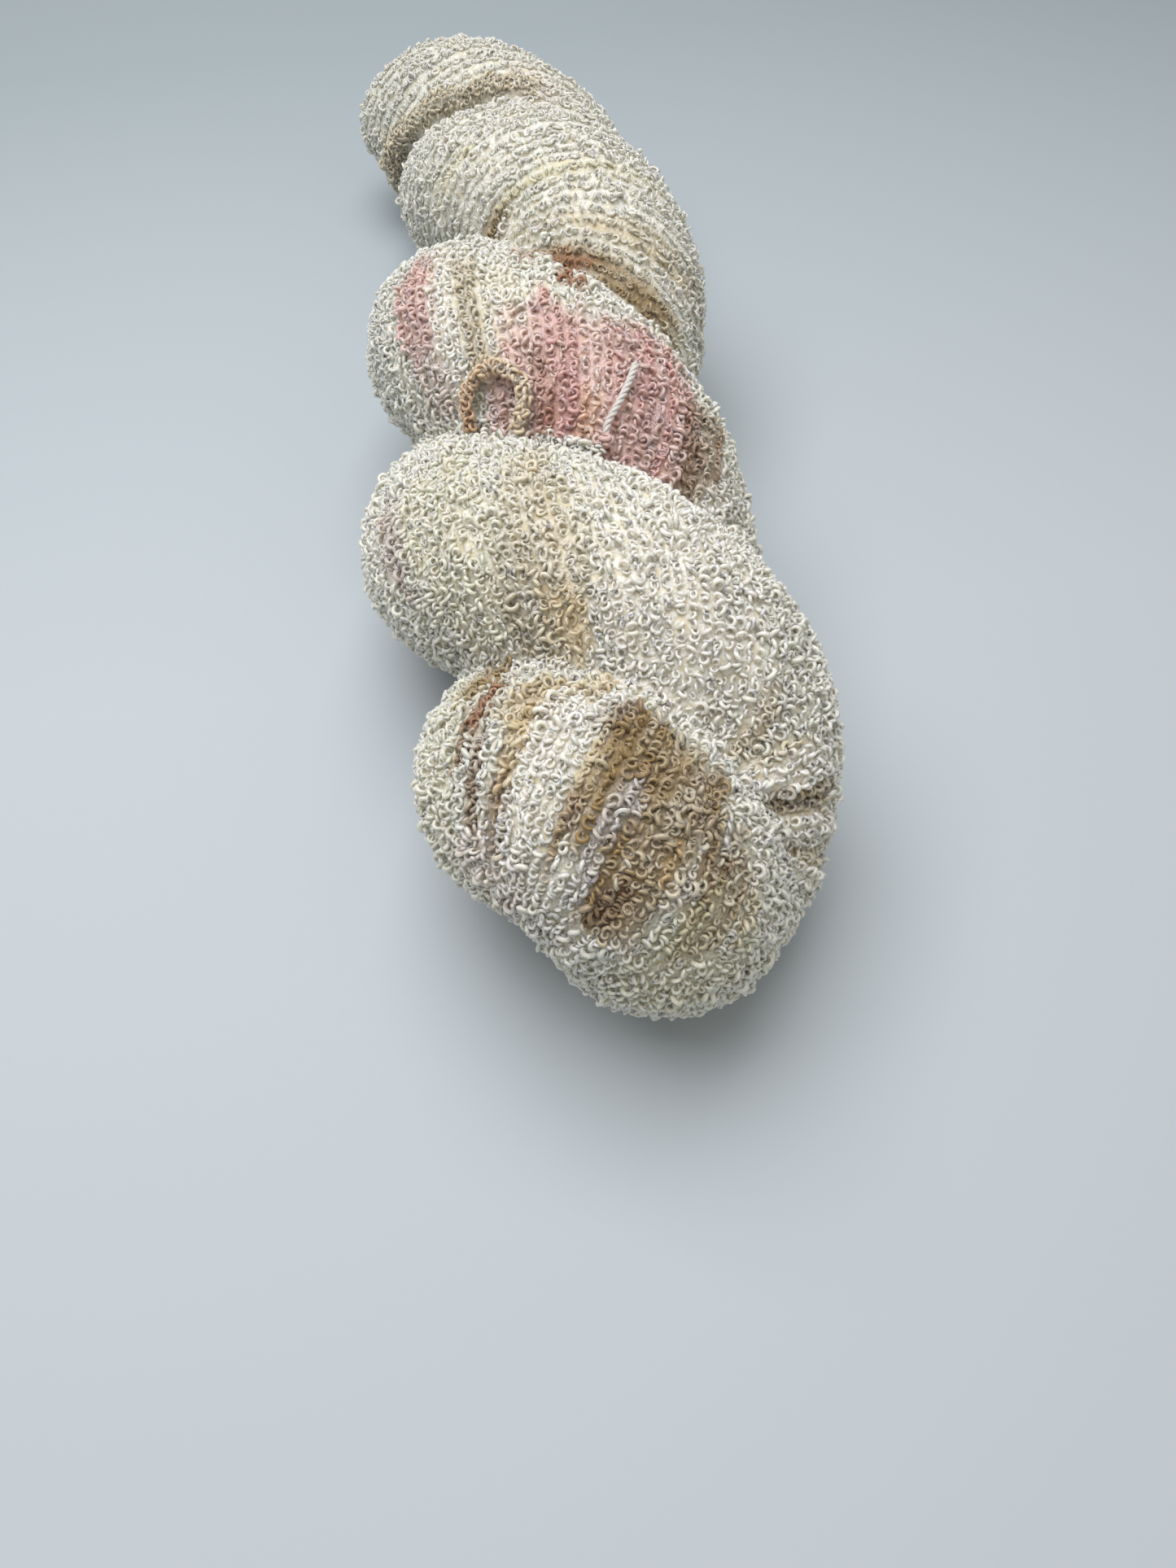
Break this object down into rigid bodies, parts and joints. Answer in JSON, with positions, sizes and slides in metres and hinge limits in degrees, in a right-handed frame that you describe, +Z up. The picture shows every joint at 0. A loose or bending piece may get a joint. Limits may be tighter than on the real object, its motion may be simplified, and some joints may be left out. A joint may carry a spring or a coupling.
{
  "type": "twisted hank of boucle yarn",
  "caption": "Soft twisted hank of looped yarn with a folded tip, a round knob and two loose ends, lying on flat spots.",
  "frame": {"origin": "middle of the hank's box, on the surface that it lies on", "axes": "+Y along the hank, from its folded tip towards its knob, +Z up from the surface"},
  "size_m": [0.0922, 0.3152, 0.0779],
  "materials": {
    "boucle_yarn": "curly boucle, cream with tan, brown and pink patches of dye",
    "cotton_thread": "plied white cotton thread",
    "tan_boucle_yarn": "curly boucle, tan"
  },
  "bodies": {
    "root": {"hank": "boucle_yarn", "tie_end": "cotton_thread", "yarn_loop": "tan_boucle_yarn"}
  },
  "joints": []
}
